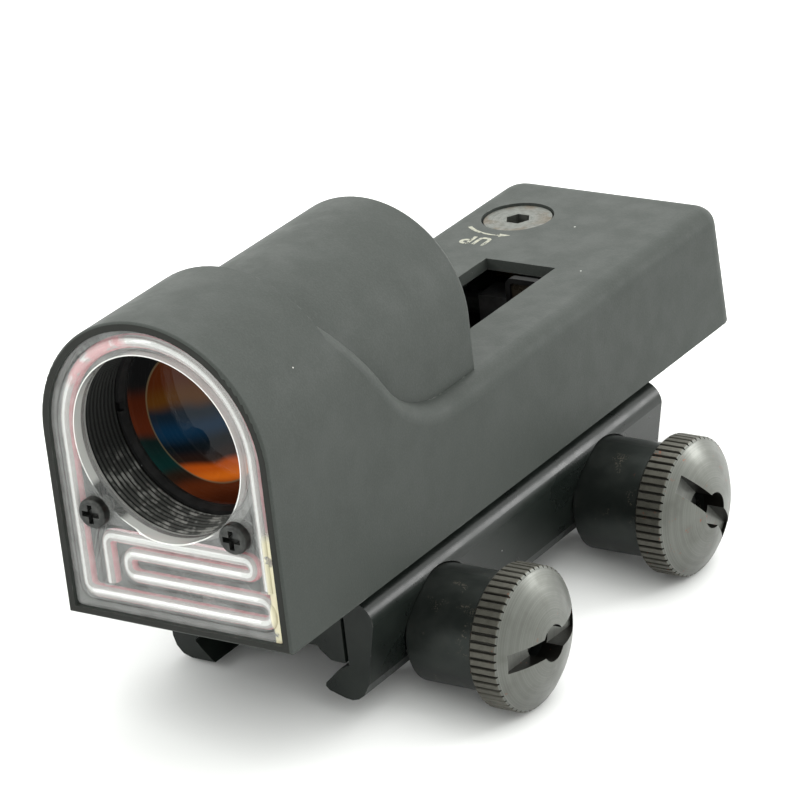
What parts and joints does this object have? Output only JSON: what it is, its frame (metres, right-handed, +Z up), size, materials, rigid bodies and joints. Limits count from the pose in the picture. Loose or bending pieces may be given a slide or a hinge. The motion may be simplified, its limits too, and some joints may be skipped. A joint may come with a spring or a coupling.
{
  "type": "reflex sight",
  "caption": "Compact rail-mounted reflex sight: arched hood with a light-collecting front panel, coated lens, open emitter deck, hex adjusters and a clamp with knurled thumb nuts.",
  "frame": {"origin": "centre of the flat seat that rests on the rail", "axes": "+Y along the line of sight towards the eye, +Z up away from the rail, +X towards the thumb nuts"},
  "size_m": [0.0492, 0.1085, 0.0599],
  "materials": {
    "main_housing": "matte hard-anodised, dark grey-green",
    "light_panel": "clear moulded plastic",
    "panel_backing": "silvery reflective film",
    "light_fibre": "fluorescent red fibre",
    "fibre_lead": "fluorescent red fibre",
    "fibre_clip": "black moulded",
    "panel_screws": "black oxide",
    "lens_ring": "black anodised",
    "reflector_lens": "dichroic coated",
    "compensating_lens": "polished",
    "bottom_cover": "black anodised",
    "cover_screws": "black oxide",
    "elevation_screw": "nickel plated, worn",
    "elevation_clip": "spring steel",
    "elevation_o_ring": "black",
    "elevation_nut": "turned",
    "windage_screw": "nickel plated, worn",
    "windage_clip": "spring steel",
    "windage_o_ring": "black",
    "windage_saddle": "black acetal",
    "emitter_post": "black acetal",
    "emitter_bezel": "black",
    "emitter_window": "tinted plate",
    "light_guide": "clear",
    "emitter_spring": "music wire",
    "mount_base": "semi-gloss black anodised",
    "mount_screws": "black oxide",
    "clamp_bar": "semi-gloss black anodised",
    "cross_bolts": "black oxide",
    "thumb_nut_front": "gunmetal, turned",
    "thumb_nut_rear": "gunmetal, turned"
  },
  "bodies": {
    "housing": {"main_housing": "main_housing", "light_panel": "light_panel", "panel_backing": "panel_backing", "light_fibre": "light_fibre", "fibre_lead": "fibre_lead", "fibre_clip": "fibre_clip", "panel_screws": "panel_screws", "lens_ring": "lens_ring", "reflector_lens": "reflector_lens", "compensating_lens": "compensating_lens", "bottom_cover": "bottom_cover", "cover_screws": "cover_screws", "mount_base": "mount_base", "mount_screws": "mount_screws", "cross_bolts": "cross_bolts"},
    "clamp": {"clamp_bar": "clamp_bar"},
    "front_nut": {"thumb_nut_front": "thumb_nut_front"},
    "rear_nut": {"thumb_nut_rear": "thumb_nut_rear"},
    "elevation_adjuster": {"elevation_screw": "elevation_screw", "elevation_clip": "elevation_clip", "elevation_o_ring": "elevation_o_ring"},
    "elevation_carrier": {"elevation_nut": "elevation_nut"},
    "windage_adjuster": {"windage_screw": "windage_screw", "windage_clip": "windage_clip", "windage_o_ring": "windage_o_ring"},
    "saddle": {"windage_saddle": "windage_saddle", "emitter_spring": "emitter_spring"},
    "emitter": {"emitter_post": "emitter_post", "emitter_bezel": "emitter_bezel", "emitter_window": "emitter_window", "light_guide": "light_guide"}
  },
  "joints": [
    {"name": "clamp_slide", "type": "slide", "parent": "housing", "child": "clamp", "axis": [1, 0, 0], "range_m": [-0.0004, 0.003]},
    {"name": "front_nut_turn", "type": "hinge", "parent": "clamp", "child": "front_nut", "pos_m": [0.0156, -0.02, -0.0023], "axis": [1, 0, 0], "range_deg": [-206.21, 1543.36]},
    {"name": "rear_nut_turn", "type": "hinge", "parent": "clamp", "child": "rear_nut", "pos_m": [0.0156, 0.02, -0.0023], "axis": [1, 0, 0], "range_deg": [-206.21, 1543.36]},
    {"name": "elevation_turn", "type": "hinge", "parent": "housing", "child": "elevation_adjuster", "pos_m": [-0.0078, 0.0422, 0.0248], "axis": [0, 0, 1], "range_deg": [-541, 541]},
    {"name": "elevation_lift", "type": "slide", "parent": "housing", "child": "elevation_carrier", "axis": [0, 0, 1], "range_m": [-0.00075, 0.00075]},
    {"name": "windage_turn", "type": "hinge", "parent": "housing", "child": "windage_adjuster", "pos_m": [-0.0165, 0.032, 0.0164], "axis": [1, 0, 0], "range_deg": [-541, 541]},
    {"name": "saddle_slide", "type": "slide", "parent": "housing", "child": "saddle", "axis": [1, 0, 0], "range_m": [-0.00075, 0.00075]},
    {"name": "emitter_lift", "type": "slide", "parent": "saddle", "child": "emitter", "axis": [0, 0, 1], "range_m": [-0.00076, 0.00076], "deforming": ["emitter_spring"]}
  ],
  "couplings": [
    {"joint": "front_nut_turn", "follows": "clamp_slide", "rad_per_m": 8976},
    {"joint": "rear_nut_turn", "follows": "clamp_slide", "rad_per_m": 8976},
    {"joint": "elevation_turn", "follows": "elevation_lift", "rad_per_m": -12566},
    {"joint": "emitter_lift", "follows": "elevation_lift", "ratio": 1},
    {"joint": "windage_turn", "follows": "saddle_slide", "rad_per_m": -12566}
  ]
}
